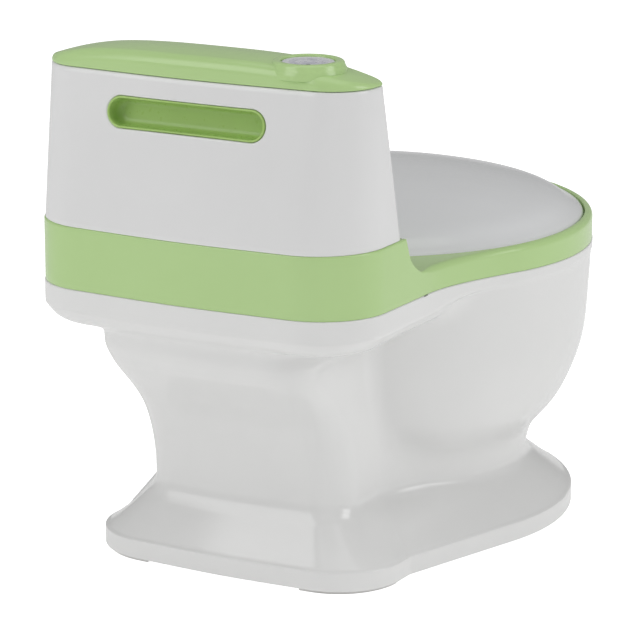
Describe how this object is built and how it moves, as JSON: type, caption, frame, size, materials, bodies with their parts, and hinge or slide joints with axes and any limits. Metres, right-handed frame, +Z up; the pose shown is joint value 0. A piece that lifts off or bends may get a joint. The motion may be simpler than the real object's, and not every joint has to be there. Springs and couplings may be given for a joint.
{
  "type": "potty training chair",
  "caption": "Child's potty chair shaped like a small toilet: hollow pedestal, seat frame, hinged lid, lift-out pot, tank with hand grip slot and a sprung flush button.",
  "frame": {"origin": "on the floor, under the middle of the object's box", "axes": "+Z up, the front of the bowl faces -Y, the tank is at +Y, X = 0 is the plane of symmetry"},
  "size_m": [0.311, 0.4065, 0.351],
  "materials": {
    "white_plastic": "gloss",
    "lid_plastic": "high gloss",
    "green_plastic": "satin gloss",
    "pot_plastic": "gloss",
    "button_plastic": "satin",
    "foot_pad": "matte",
    "inner_plastic": "matte",
    "black_plastic": "matte",
    "circuit_board": "satin",
    "battery_metal": "satin",
    "screw_steel": "satin"
  },
  "bodies": {
    "base": {"base_shell": "white_plastic", "foot_rear_left": "foot_pad", "foot_rear_right": "foot_pad", "foot_front_left": "foot_pad", "foot_front_right": "foot_pad", "seat_frame": "green_plastic", "tank_shell": "white_plastic", "grip_insert": "green_plastic", "frame_screws": "screw_steel", "tank_screws": "screw_steel", "hinge_pin_left": "screw_steel", "hinge_pin_right": "screw_steel"},
    "seat_lid": {"toilet_lid": "lid_plastic"},
    "pot": {"potty_pot": "pot_plastic"},
    "cistern_lid": {"tank_lid": "green_plastic", "sound_case": "inner_plastic", "case_cover": "inner_plastic", "case_screws": "screw_steel", "battery_front": "battery_metal", "battery_rear": "battery_metal", "battery_contacts": "screw_steel", "circuit_board": "circuit_board", "tact_switch": "black_plastic", "speaker": "black_plastic", "button_spring": "screw_steel"},
    "button": {"flush_button": "button_plastic"},
    "door": {"battery_door": "inner_plastic", "door_screw": "screw_steel"}
  },
  "joints": [
    {"name": "lid_hinge", "type": "hinge", "parent": "base", "child": "seat_lid", "pos_m": [0, 0.108, 0.213], "axis": [-1, 0, 0], "range_deg": [0, 93]},
    {"name": "pot_lift", "type": "slide", "parent": "base", "child": "pot", "axis": [0, 0, 1], "range_m": [0, 0.012]},
    {"name": "tank_lid_lift", "type": "slide", "parent": "base", "child": "cistern_lid", "axis": [0, 0, 1], "range_m": [0, 0.045]},
    {"name": "button_press", "type": "slide", "parent": "cistern_lid", "child": "button", "axis": [0, 0, -1], "range_m": [0, 0.0025], "stiffness_N_per_m": 400, "springref_m": -0.003, "deforming": ["button_spring"]},
    {"name": "battery_door_release", "type": "slide", "parent": "cistern_lid", "child": "door", "axis": [0, 0, -1], "range_m": [0, 0.01]}
  ]
}
